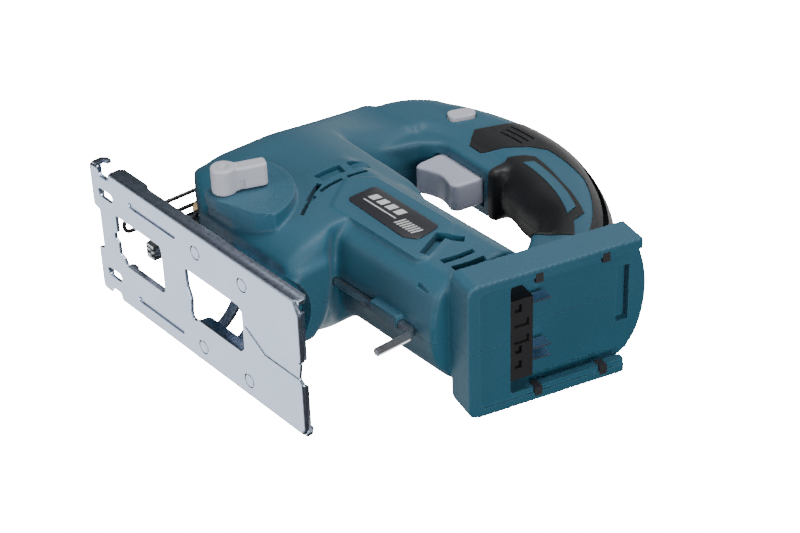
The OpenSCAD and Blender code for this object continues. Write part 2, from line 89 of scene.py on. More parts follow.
def loft(name, rings, closed=False):
    """A closed solid through rings of points; each ring has the same number of points."""
    bm = bmesh.new()
    rows = [[bm.verts.new(p) for p in ring] for ring in rings]
    count = len(rows[0])
    pairs = list(zip(rows, rows[1:] + rows[:1])) if closed else list(zip(rows, rows[1:]))
    for a, b in pairs:
        for i in range(count):
            j = (i + 1) % count
            bm.faces.new((a[i], a[j], b[j], b[i]))
    if not closed:
        bm.faces.new(rows[0][::-1])
        bm.faces.new(rows[-1])
    return to_object(name, bm)


def prism_y(name, outline, y0, y1):
    return loft(name, [[place(x, y, z) for x, z in outline] for y in (y0, y1)])


def prism_x(name, outline, x0, x1):
    return loft(name, [[place(x, y, z) for y, z in outline] for x in (x0, x1)])


def prism_z(name, outline, z0, z1):
    return loft(name, [[place(x, y, z) for x, y in outline] for z in (z0, z1)])


def prism_foot(name, outline, d0, d1):
    """A prism standing on the battery face; outline is (y, along)."""
    return loft(name, [[foot_place(d, y, z) for y, z in outline] for d in (d0, d1)])


def box_of(name, lo, hi):
    return prism_z(name, [(lo[0], lo[1]), (hi[0], lo[1]), (hi[0], hi[1]), (lo[0], hi[1])], lo[2], hi[2])


def circle(cx, cy, r, n=64, a0=0.0, a1=360.0):
    """Points round a circle, or along an arc of it where the angles are given."""
    full = abs(a1 - a0) >= 360
    steps = n if full else n + 1
    return [(cx + r * math.cos(math.radians(a0 + (a1 - a0) * k / n)),
             cy + r * math.sin(math.radians(a0 + (a1 - a0) * k / n))) for k in range(steps)]


def rounded(x0, x1, y0, y1, r, n=8):
    """A rectangle with round corners."""
    points = []
    for cx, cy, a in ((x1 - r, y1 - r, 0), (x0 + r, y1 - r, 90), (x0 + r, y0 + r, 180), (x1 - r, y0 + r, 270)):
        points += circle(cx, cy, r, n, a, a + 90)
    return points


def round_corners(outline, r, n=6):
    """The outline with each corner rounded to radius r, or less where the sides are short."""
    result = []
    count = len(outline)
    for i, corner in enumerate(outline):
        c = Vector(corner)
        a = Vector(outline[i - 1]) - c
        b = Vector(outline[(i + 1) % count]) - c
        half = a.angle(b) / 2
        reach = min(r / math.tan(half), a.length * 0.45, b.length * 0.45)
        start, end = c + a.normalized() * reach, c + b.normalized() * reach
        for k in range(n + 1):
            t = k / n
            result.append(tuple((1 - t) ** 2 * start + 2 * t * (1 - t) * c + t * t * end))
    return result


def arc_bar(name, section, a0, a1, centre=ARCH, n=72):
    """A section of (radius, y) points swept round the centre of the handle arch."""
    rings = []
    for k in range(n + 1):
        a = math.radians(a0 + (a1 - a0) * k / n)
        rings.append([place(centre[0] + r * math.cos(a), y, centre[1] + r * math.sin(a)) for r, y in section])
    return loft(name, rings)


def baked(obj):
    """Applies the object's modifiers to its mesh."""
    graph = bpy.context.evaluated_depsgraph_get()
    graph.update()
    mesh = bpy.data.meshes.new_from_object(obj.evaluated_get(graph))
    old = obj.data
    obj.modifiers.clear()
    obj.data = mesh
    bpy.data.meshes.remove(old)
    return obj


def combine(base, tool, operation):
    mod = base.modifiers.new("cut", "BOOLEAN")
    mod.operation = operation
    mod.object = tool
    mod.solver = "MANIFOLD"
    baked(base)
    bpy.data.objects.remove(tool)
    return base


def cut(base, *tools):
    for tool in tools:
        combine(base, tool, "DIFFERENCE")
    return base


def keep(base, *tools):
    for tool in tools:
        combine(base, tool, "INTERSECT")
    return base


def add(base, *tools):
    for tool in tools:
        combine(base, tool, "UNION")
    return base


def copy_of(obj, name):
    twin = obj.copy()
    twin.data = obj.data.copy()
    twin.name = name
    bpy.context.scene.collection.objects.link(twin)
    return twin


def soften(obj, voxel, times, factor=0.5):
    """Remeshes with voxels of the given size in millimetres and smooths."""
    mod = obj.modifiers.new("skin", "REMESH")
    mod.mode = "VOXEL"
    mod.voxel_size = voxel / 1000
    if times:
        mod = obj.modifiers.new("smooth", "SMOOTH")
        mod.iterations = times
        mod.factor = factor
    return baked(obj)


def swell(obj, amount):
    """Moves the surface outwards along its normals by amount millimetres."""
    mesh = obj.data
    count = len(mesh.vertices)
    co = np.empty(count * 3)
    no = np.empty(count * 3)
    mesh.vertices.foreach_get("co", co)
    mesh.vertices.foreach_get("normal", no)
    mesh.vertices.foreach_set("co", co + no * amount / 1000)
    mesh.update()
    return obj


def bevel(obj, width, segments=2, angle=30):
    mod = obj.modifiers.new("edge", "BEVEL")
    mod.width = width / 1000
    mod.segments = segments
    mod.limit_method = "ANGLE"
    mod.angle_limit = math.radians(angle)
    mod.harden_normals = False
    return baked(obj)


def smooth_shade(obj, angle=32):
    """Smooth faces, with edges sharper than the angle left crisp."""
    bm = bmesh.new()
    bm.from_mesh(obj.data)
    limit = math.radians(angle)
    for face in bm.faces:
        face.smooth = True
    for edge in bm.edges:
        edge.smooth = len(edge.link_faces) == 2 and edge.calc_face_angle(0) < limit
    bm.to_mesh(obj.data)
    bm.free()


# ---- camera, floor and light

def make_camera():
    """Below and behind the tool, rolled so that its left side is up."""
    right = Vector((0.6414, 0.0284, 0.7667))
    down = Vector((0.4033, 0.8377, -0.3684))
    forward = right.cross(-down)
    data = bpy.data.cameras.new("camera")
    data.sensor_width = 36
    data.lens = 92.39
    data.clip_start = 0.01
    camera = bpy.data.objects.new("camera", data)
    camera.matrix_world = Matrix((
        (right.x, -down.x, forward.x, 0.71529 + SHIFT / 1000),
        (right.y, -down.y, forward.y, -0.55702),
        (right.z, -down.z, forward.z, -0.44581),
        (0, 0, 0, 1)))
    bpy.context.scene.collection.objects.link(camera)
    bpy.context.scene.camera = camera


def area_light(name, at, size, power, colour=(1, 1, 1)):
    data = bpy.data.lights.new(name, "AREA")
    data.shape = "DISK"
    data.size = size
    data.energy = power
    data.color = colour
    light = bpy.data.objects.new(name, data)
    light.location = at
    light.rotation_euler = (Vector((0.03, 0, 0.1)) - Vector(at)).to_track_quat("-Z", "Y").to_euler()
    bpy.context.scene.collection.objects.link(light)


def make_studio():
    world = bpy.data.worlds.new("studio")
    world.use_nodes = True
    nodes, links = world.node_tree.nodes, world.node_tree.links
    room = nodes["Background"]
    where = nodes.new("ShaderNodeTexCoord")
    split = nodes.new("ShaderNodeSeparateXYZ")
    links.new(where.outputs["Generated"], split.inputs[0])
    # a bright room on the tool's left and a darker one on its right
    fade = nodes.new("ShaderNodeMapRange")
    fade.inputs["From Min"].default_value = 0.9
    fade.inputs["From Max"].default_value = -0.9
    fade.inputs["To Min"].default_value = 0.32
    fade.inputs["To Max"].default_value = 0.95
    links.new(split.outputs["Y"], fade.inputs["Value"])
    links.new(fade.outputs["Result"], room.inputs["Strength"])
    white = nodes.new("ShaderNodeBackground")
    white.inputs["Strength"].default_value = 40.0
    rays = nodes.new("ShaderNodeLightPath")
    mix = nodes.new("ShaderNodeMixShader")
    links.new(rays.outputs["Is Camera Ray"], mix.inputs[0])
    links.new(room.outputs[0], mix.inputs[1])
    links.new(white.outputs[0], mix.inputs[2])
    links.new(mix.outputs[0], nodes["World Output"].inputs[0])
    bpy.context.scene.world = world
    area_light("side_light", (0.1, -1.1, 0.35), 0.7, 12)
    area_light("low_light", (-0.1, -0.35, -1.0), 0.8, 8)
    area_light("top_light", (-0.5, 0.1, 1.1), 1.0, 5)
    area_light("sole_light", (-0.85, 0.62, -0.66), 1.1, 5.5)
    area_light("far_light", (-0.2, 1.3, 0.8), 1.2, 12)
    area_light("slot_light", (1.0, -0.25, -0.15), 0.7, 8)
    floor = prism_z("floor", [(-2000, -2000), (2000, -2000), (2000, 2000), (-2000, 2000)], -1.2, -0.7)
    bm = bmesh.new()
    bm.from_mesh(floor.data)
    bmesh.ops.delete(bm, geom=[f for f in bm.faces if f.normal.z < 0.5], context="FACES")
    bm.to_mesh(floor.data)
    bm.free()
    mat, nodes, links, shader = new_material("pale_floor")
    shader.inputs["Base Color"].default_value = (0.86, 0.86, 0.86, 1)
    shader.inputs["Roughness"].default_value = 0.9
    shader.inputs["Specular IOR Level"].default_value = 0.1
    geometry = nodes.new("ShaderNodeNewGeometry")
    clear = nodes.new("ShaderNodeBsdfTransparent")
    mix = nodes.new("ShaderNodeMixShader")
    links.new(geometry.outputs["Backfacing"], mix.inputs[0])
    links.new(shader.outputs[0], mix.inputs[1])
    links.new(clear.outputs[0], mix.inputs[2])
    links.new(mix.outputs[0], nodes["Material Output"].inputs[0])
    floor.data.materials.append(mat)
    floor.visible_shadow = False
    floor.visible_diffuse = False
    floor.visible_glossy = False


# ---- shared surface effects

def group_socket(tree, name, way, kind, value=None):
    socket = tree.interface.new_socket(name=name, in_out=way, socket_type=kind)
    if value is not None:
        socket.default_value = value


def make_grain_group():
    """Fine moulded grain: a height for bump and a soft value for colour and gloss variation."""
    tree = bpy.data.node_groups.new("fine_grain", "ShaderNodeTree")
    group_socket(tree, "Grain Size", "INPUT", "NodeSocketFloat", 900.0)
    group_socket(tree, "Patch Size", "INPUT", "NodeSocketFloat", 18.0)
    group_socket(tree, "Height", "OUTPUT", "NodeSocketFloat")
    group_socket(tree, "Patches", "OUTPUT", "NodeSocketFloat")
    nodes, links = tree.nodes, tree.links
    enter, leave = nodes.new("NodeGroupInput"), nodes.new("NodeGroupOutput")
    place_in = nodes.new("ShaderNodeTexCoord")
    fine = nodes.new("ShaderNodeTexNoise")
    fine.inputs["Detail"].default_value = 3
    broad = nodes.new("ShaderNodeTexNoise")
    broad.inputs["Detail"].default_value = 4
    links.new(place_in.outputs["Object"], fine.inputs["Vector"])
    links.new(place_in.outputs["Object"], broad.inputs["Vector"])
    links.new(enter.outputs["Grain Size"], fine.inputs["Scale"])
    links.new(enter.outputs["Patch Size"], broad.inputs["Scale"])
    links.new(fine.outputs["Fac"], leave.inputs["Height"])
    links.new(broad.outputs["Fac"], leave.inputs["Patches"])
    return tree


def make_edge_highlight_group():
    """A mask that is high along edges, where a painted highlight is laid: the pale line on moulded corners and the
    bright line on sheet edges.
    """
    tree = bpy.data.node_groups.new("painted_edge_highlight", "ShaderNodeTree")
    group_socket(tree, "Width", "INPUT", "NodeSocketFloat", 0.0005)
    group_socket(tree, "End", "INPUT", "NodeSocketFloat", 0.3)
    group_socket(tree, "Mask", "OUTPUT", "NodeSocketFloat")
    nodes, links = tree.nodes, tree.links
    enter, leave = nodes.new("NodeGroupInput"), nodes.new("NodeGroupOutput")
    geometry = nodes.new("ShaderNodeNewGeometry")
    rounded_off = nodes.new("ShaderNodeBevel")
    rounded_off.samples = 4
    links.new(enter.outputs["Width"], rounded_off.inputs["Radius"])
    match = nodes.new("ShaderNodeVectorMath")
    match.operation = "DOT_PRODUCT"
    links.new(geometry.outputs["Normal"], match.inputs[0])
    links.new(rounded_off.outputs["Normal"], match.inputs[1])
    ramp = nodes.new("ShaderNodeMapRange")
    ramp.inputs["From Min"].default_value = 0.985
    ramp.inputs["To Min"].default_value = 0.0
    ramp.inputs["To Max"].default_value = 1.0
    turn = nodes.new("ShaderNodeMath")
    turn.operation = "SUBTRACT"
    turn.inputs[0].default_value = 0.985
    links.new(enter.outputs["End"], turn.inputs[1])
    links.new(match.outputs["Value"], ramp.inputs["Value"])
    links.new(turn.outputs[0], ramp.inputs["From Max"])
    links.new(ramp.outputs["Result"], leave.inputs["Mask"])
    return tree


GRAIN = make_grain_group()
EDGE_HIGHLIGHT = make_edge_highlight_group()


def new_material(name):
    mat = bpy.data.materials.new(name)
    mat.use_nodes = True
    return mat, mat.node_tree.nodes, mat.node_tree.links, mat.node_tree.nodes["Principled BSDF"]


def use_group(nodes, tree, **values):
    node = nodes.new("ShaderNodeGroup")
    node.node_tree = tree
    for key, value in values.items():
        node.inputs[key.replace("_", " ")].default_value = value
    return node


def mix_colour(nodes, links, factor, first, second):
    """Mixes two plain colours, or two sockets, by a factor socket."""
    node = nodes.new("ShaderNodeMix")
    node.data_type = "RGBA"
    links.new(factor, node.inputs["Factor"])
    for value, socket in ((first, node.inputs["A"]), (second, node.inputs["B"])):
        if isinstance(value, tuple):
            socket.default_value = (*value, 1)
        else:
            links.new(value, socket)
    return node.outputs["Result"]


def grained(name, base, pale, rough, grain=900.0, depth=0.04, patch=0.12, edge_highlight_colour=None, sheen=0.0):
    """Moulded plastic or rubber: fine grain, soft patches in colour and gloss, and a painted highlight of paler colour
    along edges.
    """
    mat, nodes, links, shader = new_material(name)
    fine = use_group(nodes, GRAIN, Grain_Size=grain, Patch_Size=16.0)
    colour = mix_colour(nodes, links, fine.outputs["Patches"], base, pale)
    # painted highlight: a paler colour mixed in along edges
    if edge_highlight_colour:
        edge = use_group(nodes, EDGE_HIGHLIGHT, Width=0.0006, End=0.3)
        colour = mix_colour(nodes, links, edge.outputs["Mask"], colour, edge_highlight_colour)
    links.new(colour, shader.inputs["Base Color"])
    gloss = nodes.new("ShaderNodeMapRange")
    gloss.inputs["To Min"].default_value = rough - patch / 2
    gloss.inputs["To Max"].default_value = rough + patch / 2
    links.new(fine.outputs["Patches"], gloss.inputs["Value"])
    links.new(gloss.outputs["Result"], shader.inputs["Roughness"])
    bump = nodes.new("ShaderNodeBump")
    bump.inputs["Strength"].default_value = depth * 10
    bump.inputs["Distance"].default_value = 0.0001
    links.new(fine.outputs["Height"], bump.inputs["Height"])
    links.new(bump.outputs["Normal"], shader.inputs["Normal"])
    shader.inputs["Sheen Weight"].default_value = sheen
    return mat


def metal(name, base, tint, rough, scale, depth=0.02, stretch=(1, 1, 1), edge=None):
    """Metal with a fine directional or crystalline finish, a little colour variation and, where an edge colour is
    given, a painted highlight along edges.
    """
    mat, nodes, links, shader = new_material(name)
    shader.inputs["Metallic"].default_value = 1.0
    where = nodes.new("ShaderNodeTexCoord")
    turn = nodes.new("ShaderNodeMapping")
    turn.inputs["Scale"].default_value = stretch
    links.new(where.outputs["Object"], turn.inputs["Vector"])
    fine = nodes.new("ShaderNodeTexNoise")
    fine.inputs["Scale"].default_value = scale
    fine.inputs["Detail"].default_value = 4
    links.new(turn.outputs["Vector"], fine.inputs["Vector"])
    broad = use_group(nodes, GRAIN, Grain_Size=1500.0, Patch_Size=30.0)
    colour = mix_colour(nodes, links, broad.outputs["Patches"], base, tint)
    # painted highlight: a bright colour mixed in along edges
    if edge:
        mask = use_group(nodes, EDGE_HIGHLIGHT, Width=0.0006, End=0.3)
        colour = mix_colour(nodes, links, mask.outputs["Mask"], colour, edge)
    links.new(colour, shader.inputs["Base Color"])
    gloss = nodes.new("ShaderNodeMapRange")
    gloss.inputs["To Min"].default_value = rough - 0.07
    gloss.inputs["To Max"].default_value = rough + 0.07
    links.new(fine.outputs["Fac"], gloss.inputs["Value"])
    links.new(gloss.outputs["Result"], shader.inputs["Roughness"])
    bump = nodes.new("ShaderNodeBump")
    bump.inputs["Strength"].default_value = depth * 10
    bump.inputs["Distance"].default_value = 0.00008
    links.new(fine.outputs["Fac"], bump.inputs["Height"])
    links.new(bump.outputs["Normal"], shader.inputs["Normal"])
    return mat


MATERIALS = {
    # the pale edge colour of the housing is a painted highlight along its edges
    "housing": grained("teal_housing", (0.0165, 0.090, 0.145), (0.022, 0.108, 0.17), 0.55, 1100, 0.05,
                       edge_highlight_colour=(0.05, 0.19, 0.26), sheen=0.06),
    # the pale edge colour of the soft grip is a painted highlight along its edges
    "soft_grip": grained("black_soft_grip", (0.0045, 0.005, 0.0065), (0.008, 0.009, 0.011), 0.5, 1300, 0.07,
                         edge_highlight_colour=(0.025, 0.026, 0.03), sheen=0.03),
    "label": grained("charcoal_label", (0.028, 0.03, 0.036), (0.034, 0.035, 0.042), 0.36, 2500, 0.01),
    "grey_plastic": grained("lilac_grey_plastic", (0.46, 0.48, 0.60), (0.52, 0.54, 0.65), 0.42, 1500, 0.02),
    "pale_grey": grained("pale_grey_plastic", (0.52, 0.53, 0.60), (0.58, 0.59, 0.65), 0.42, 1500, 0.02),
    "black_plastic": grained("black_plastic", (0.018, 0.018, 0.02), (0.028, 0.028, 0.03), 0.45, 1400, 0.03),
    # the near-white edge colour of the shoe is a painted highlight along its sheet edges
    "zinc_steel": metal("zinc_plated_sheet", (0.42, 0.60, 0.72), (0.60, 0.60, 0.80), 0.30, 420, 0.03,
                        edge=(0.9, 0.95, 1.0)),
    "bare_steel": metal("turned_steel", (0.42, 0.43, 0.45), (0.52, 0.53, 0.55), 0.32, 600, 0.02,
                        stretch=(0.2, 1, 1)),
    "black_wire": grained("black_coated_wire", (0.012, 0.012, 0.012), (0.02, 0.02, 0.02), 0.38, 1600, 0.02),
    "bronze": metal("sintered_bronze", (0.45, 0.30, 0.14), (0.52, 0.36, 0.18), 0.42, 900),
    "copper_wound": grained("wound_rotor", (0.30, 0.12, 0.05), (0.4, 0.17, 0.07), 0.4, 700, 0.08),
    "board_green": grained("circuit_board", (0.02, 0.12, 0.05), (0.03, 0.15, 0.07), 0.4, 900, 0.03),
    "rubber_black": grained("buffer_rubber", (0.02, 0.02, 0.024), (0.03, 0.03, 0.034), 0.6, 900, 0.05),
    "wire_red": grained("insulated_wire", (0.35, 0.02, 0.02), (0.42, 0.03, 0.03), 0.4, 900, 0.02),
    "print_white": grained("label_print", (0.62, 0.63, 0.65), (0.68, 0.69, 0.71), 0.4, 2500, 0.01),
}


def finish_piece(obj, material, body, slot, *nodes, angle=32):
    """Gives a new piece its material and body; the nodes named are those that it stands for."""
    obj.data.materials.clear()
    obj.data.materials.append(MATERIALS[material])
    smooth_shade(obj, angle)
    if nodes:
        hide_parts(*nodes)
    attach(obj, body)


# ---- housing

def ease(value, low, high):
    """Rises smoothly from 0 to 1 as value goes from low to high."""
    t = min(1.0, max(0.0, (value - low) / (high - low)))
    return t * t * (3 - 2 * t)


def head():
    """The gear head: a stack of rounded outlines, round underneath and narrowing up into the handle."""
    rings = []
    for z in list(np.linspace(27.2, 60, 12)) + list(np.linspace(64, 168, 27)):
        half = HALF_BODY - 15.5 * ease(z, 92, 166)
        left = half
        if z < 60:
            half = math.sqrt(HALF_BODY ** 2 - (60 - z) ** 2)
            left = HALF_BODY * math.sqrt(1 - ((60 - z) / 46) ** 2)
        nose = min(half - 0.5, 31 - 17 * ease(z, 100, 160))
        rear = min(half - 0.5, 24)
        back = 44 if z < 124 else -22
        front = -76.4 - 1.2 * ease(z, 110, 150) + 2.4 * ease(z, 66, 52)
        points = circle(back - rear, half - rear, rear, 8, 0, 90) + circle(front + nose, half - nose, nose, 12, 90, 180)
        points += circle(front + nose, nose - left, nose, 12, 180, 270)
        crisp = 7 + 17 * ease(z, 66, 96) if z < 124 else rear
        points += circle(back - crisp, crisp - left, crisp, 8, 270, 360)
        rings.append([place(x, y, z) for x, y in points])
    side = [(-75, 54), (-79, 62), (-79, 168), (-23, 168), (-22, 140), (-8, 126), (37, 123), (38.4, 100), (38.4, 58),
            (46, 47), (46, 27), (-30, 27), (-50, 39)]
    return keep(loft("head", rings), prism_y("side", side, -50, 50))


def shoulder():
    """The front of the handle where it runs down into the head."""
    r = 43.0
    centre = (ARCH[0] + (GRIP_R - r) * math.cos(math.radians(120)),
              ARCH[1] + (GRIP_R - r) * math.sin(math.radians(120)))
    section = ([(0.5, -HALF_GRIP), (29, -HALF_GRIP)] + circle(29, 4 - HALF_GRIP + 10, 14, 10, -90, 0)
               + circle(29, HALF_GRIP - 14, 14, 10, 0, 90) + [(0.5, HALF_GRIP)])
    return arc_bar("shoulder", section, 117, 182, centre, 24)


def grip_radii(a):
    """Inner radius, outer radius and half width of the handle at an angle round its arch."""
    inner = 84.5 + 8.5 * ease(a, 66, 48) + 1.9 * ease(a, 90, 118)
    outer = GRIP_R - 0.7 - 1.1 * ease(a, 84, 60)
    return inner, outer, HALF_GRIP - 1.4 * ease(a, 86, 60)


def handle():
    rings = []
    for k in range(73):
        a = 36 + 86 * k / 72
        inner, outer, half = grip_radii(a)
        turn = math.radians(a)
        rings.append([place(ARCH[0] + r * math.cos(turn), y, ARCH[1] + r * math.sin(turn))
                      for r, y in rounded(inner, outer, -half, half, 14.5, 10)])
    return loft("handle", rings)


def tube_section():
    """The motor housing seen from the rear: round on the right, with a flat flank and facets on the left."""
    right = circle(0, MOTOR_Z - 0.4, TUBE_R - 1.8, 40, -90, 90)
    left = round_corners([(0, 124.2), (-17, 123), (-30, 111), (-33.2, 104), (-33.2, 72), (-25, 62), (-10, 58.4),
                          (0, 58.2)], 7, 5)
    return right + left[6:-6]


def soft_body():
    """Everything that is blended together: head, shoulder, handle, motor tube and neck."""
    parts = [
        shoulder(),
        handle(),
        prism_y("trigger_root", [(-27, 140), (-27, 182), (34, 182), (32, 169.5), (24, 169), (-10, 171), (-20, 161)],
                -15, 15),
        prism_x("tube", tube_section(), -10, 112),
        prism_y("neck", [(86, 146), (118, 171), (136, 168), (118, 100), (100, 100), (99, 128)], -15, 15),
        prism_x("heel", [(-21.5, 50), (-21, 31), (-15.5, 23), (15.5, 23), (20, 32), (20, 38), (13, 45), (6, 48),
                         (-8, 50)], -2, 47.6),
    ]
    piece = head()
    piece = add(piece, *parts)
    return soften(piece, 1.3, 16)


def boss():
    """The raised D that the selector lever turns on."""
    ring = circle(KNOB[0], KNOB[1], 35, 60, 8, 128)
    outline = ring + [(-25, 50), (-25, 27), (-12.6, 25.8), (10, 33)]
    piece = prism_y("boss", round_corners(outline, 3, 4), BOSS_FACE, -12)
    # clear of the shoe's edge when it is tilted
    sweep = keep(prism_x("shoe_sweep", circle(0, 0, SHOE_W / 2 + 2.1, 96), -60, 40),
                 box_of("below_shaft", (-61, -60, -60), (41, 60, 28.7)))
    return cut(piece, sweep)


def label_pad():
    outline = [(8, 92), (18, 103), (76, 103), (86, 92), (91, 78), (91, 69), (24, 69)]
    return prism_y("label_pad", round_corners(outline, 5), -HALF_BODY - 0.9, -HALF_BODY + 6)


def ring_strip(centre, r0, r1, a0, a1, n=14):
    return circle(*centre, r1, n, a0, a1) + circle(*centre, r0, n, a1, a0)


def foot_outline():
    """The battery foot's face as (y, along): square low corners and a bowed top."""
    bow = [(y, 38.5 + math.sqrt(64.0 ** 2 - y * y)) for y in np.linspace(29, -24, 19)]
    low = [(-HALF_FOOT, 4), (-HALF_FOOT + 1.5, 0.2), (-HALF_FOOT + 5, -1.2), (HALF_FOOT - 5, -1.2),
           (HALF_FOOT - 1.5, 0.2), (HALF_FOOT, 4)]
    return low + [(HALF_FOOT, 86), (33, 93)] + bow + [(-30, 93.4), (-HALF_FOOT, 92.5)]


def foot():
    """The slab of the battery foot; its right wall stops short of the top."""
    piece = prism_foot("foot", foot_outline(), -18, 0)
    return cut(piece, prism_foot("right_wall_end", [(26, 85), (60, 83.5), (60, 120), (26, 120)], -12, 5))


VENT_CENTRE = (62, 84)


def vent_arc(inner, outer, a0, a1):
    """A strip round the label's front end that draws in towards the bottom."""
    def point(offset, a):
        r = 57.8 - 0.09 * (a - 159) + offset
        return (VENT_CENTRE[0] + r * math.cos(math.radians(a)), VENT_CENTRE[1] + r * math.sin(math.radians(a)))
    steps = np.linspace(a0, a1, 12)
    return [point(outer, a) for a in steps] + [point(inner, a) for a in steps[::-1]]


def vents():
    """Openings round the front of the label, the chevron and the arcs behind it, on the left flank."""
    shapes = []
    for k, (a0, a1) in enumerate(((159, 171), (174, 191), (196, 216))):
        shapes.append(prism_y(f"slot{k}", vent_arc(-2.4, 0, a0, a1), -40, -25))
    for k, (inner, outer, a0, a1) in enumerate(((3.6, 12, 156, 165.5), (3.6, 11.5, 169, 183))):
        shapes.append(prism_y(f"pocket{k}", vent_arc(inner, outer, a0, a1), -40, -30.4))
        shapes.append(prism_y(f"pocket_slot{k}", vent_arc(inner, inner + 2.2, a0 + 0.4, a1 - 0.4), -40, -25))
    low_pocket = [(11.3, 62.5), (6.5, 69.5), (1.5, 77.5), (4.6, 78.8), (8.3, 71.5), (12.6, 65)]
    shapes.append(prism_y("low_pocket", low_pocket, -40, -28))
    shapes.append(prism_y("chevron", [(86, 73), (78, 90.6), (89, 99.4), (92.6, 95.6), (85, 90), (91.6, 74.5)],
                          -44, -29))
    for k, x in enumerate((97, 105)):
        shapes.append(prism_y(f"rear_slot{k}", [(x - 0.6, 76.5), (x + 1.8, 86), (x + 2.6, 94.5), (x + 6, 93.8),
                                                (x + 5.4, 85), (x + 3.4, 76)], -44, -28))
    shapes.append(prism_y("square_notch", [(96.5, 59.4), (96.5, 64), (104.5, 63), (104.5, 58.6)], -40, -24))
    return shapes


def battery_slot():
    """Cutters of the battery slot: landing, deep channel, undercut rails and latch pocket."""
    side = HALF_FOOT
    shapes = [
        prism_foot("landing", rounded(-side + 4.5, side - 4.5, 5, 140, 4), -1.5, 12),
        prism_foot("channel", rounded(-side + 7, side - 7, 22, 140, 1.5), -12, 12),
        prism_foot("undercut", rounded(-side + 4.2, side - 4.2, 36, 140, 0.5), -11.4, -5.6),
        prism_foot("latch", rounded(-16, 16, 86, 93, 0.6), -16.4, 2),
    ]
    for k, along in enumerate((34.5, 70.5)):
        for s in (-1, 1):
            y = s * (side - 5)
            shapes.append(prism_foot(f"buffer_pocket{k}{s}", rounded(y - 2.6, y + 2.6, along, along + 4.2, 0.3),
                                     -6.2, 12))
    return shapes


def grip_cutter(name, outline):
    return prism_y(name, outline, -40, 40)


def polar(radius, angle):
    return (ARCH[0] + radius * math.cos(math.radians(angle)), ARCH[1] + radius * math.sin(math.radians(angle)))


def arc_edge(a0, a1, angles, radii, n=18):
    """Points of an edge whose distance from the arch's centre changes with the angle."""
    return [polar(float(np.interp(a, angles, radii)), a) for a in np.linspace(a0, a1, n)]


def spine_outline(g=0.0):
    """Side outline of the top grip: a broad tip in front and a narrow band down the back."""
    back = [polar(GRIP_R + 6, a) for a in np.linspace(36 - g, 93.5 + g, 30)]
    front = [polar(125, 94.5 + g), polar(114, 97.5 + g), polar(100.3 - g, 102 + g), (1.5, 179.3 - g),
             (11.4, 178.4 - g), (28.1, 198.4 - g)]
    return back + front + arc_edge(79.4, 36 - g, (36, 47, 64, 79.4), (117 - g, 118.5 - g, 120 - g, 114.3 - g))


def cheek_outline(g=0.0):
    """Side outline of the cheek grip, which wraps round under the handle."""
    low = [polar(GRIP_IN - 8, a) for a in np.linspace(36, 81 + g, 18)]
    front = [polar(GRIP_IN + 5, 82.5 + g), polar(93, 83 + g), polar(101, 80 + g)]
    top = arc_edge(78, 47, (47, 64, 78), (114 + g, 107.3 + g, 104.6 + g))
    return low + front + top + [polar(109, 43.3), polar(111, 36.5)]


def inlay_outline(g=0.0):
    outer = arc_edge(50 + g, 75.8 - g, (50, 76), (110 - g, 101.6 - g), 14)
    return outer + arc_edge(77 - g, 46.8 + g, (46, 77.5), (106 + g, 96.2 + g), 14)


def make_housing():
    skin = soft_body()
    shape = copy_of(skin, "housing")
    shape = add(shape, boss(), label_pad(), foot(), box_of("clip", (70, -7, 54.4), (90, -0.2, 64)))
    soften(shape, 0.75, 3)
    # sole side: arch seat, dust duct, plunger hole and the opening of the guard
    cut(shape,
        prism_x("arch_seat", circle(0, 0, 28.2, 72), -3.5, 50),
        prism_x("duct", circle(0, 12, 24, 40, 30, 150), 40, 56),
        prism_z("rod_hole", circle(-58, 0, 7.6, 40), 20, 60),
        box_of("fork_gap", (-56, -7, 24), (-42, 7, 49)),
        box_of("guard_slot", (-95, -6.2, 53.6), (-69.9, 6.2, 61.8)),
        box_of("clamp_space", (-68.6, -8, 24), (-50, 8, 44.7)),
        box_of("trigger_gap", (-14.2, -8.9, 140), (24.4, 8.9, 184)),
        prism_y("knob_bore", circle(*KNOB, 4.1, 32), -60, 0),
        prism_y("label_seat", label_outline(0.25), -HALF_BODY - 8, -HALF_BODY - 0.9),
        prism_x("key_bore", circle(-2.4, 57.3, 2.45, 24), 37.8, 96.2))
    cut(shape, *vents())
    cut(shape, *battery_slot())
    lock_hole = prism_y("lock_hole", lock_outline(0.45), -30, -8)
    cut(shape, lock_hole, contact_hole())
    # soft grips let into the handle
    grips = swell(copy_of(skin, "grips"), 0.5)
    cut(shape, grip_cutter("spine_seat", spine_outline(0.25)))
    cheek_seat = grip_cutter("cheek_seat", cheek_outline(0.25))
    cut(shape, cheek_seat)
    for name, y0, y1 in (("left", -200, -SEAM), ("right", SEAM, 200)):
        half = keep(copy_of(shape, f"{name}_shell"), box_of("side", (-300, y0, -100), (400, y1, 400)))
        finish_piece(half, "housing", "body", "housing", f"{name}_housing", angle=40)
    bpy.data.objects.remove(shape)
    bpy.data.objects.remove(skin)
    return grips


def lock_outline(g=0.0):
    """The lock button from the side, a rounded rectangle that leans with the handle."""
    c, s = math.cos(math.radians(22)), math.sin(math.radians(22))
    return [(-21.5 + u * c + v * s, 194 - u * s + v * c)
            for u, v in rounded(-4.6 - g, 4.6 + g, -7.6 - g, 7.6 + g, 3.6)]


def label_outline(g=0.0):
    return round_corners([(25.2 - g, 78 - g), (25.4 - g, 96 + g), (75.5 + g, 95 + g), (77.5 + g, 80 - g),
                          (71 + g, 75.6 - g)], 3.2)


def contact_hole():
    return prism_foot("contact_hole", rounded(-22.8, 23.3, 22, 34.4, 0.5), -17, 2)


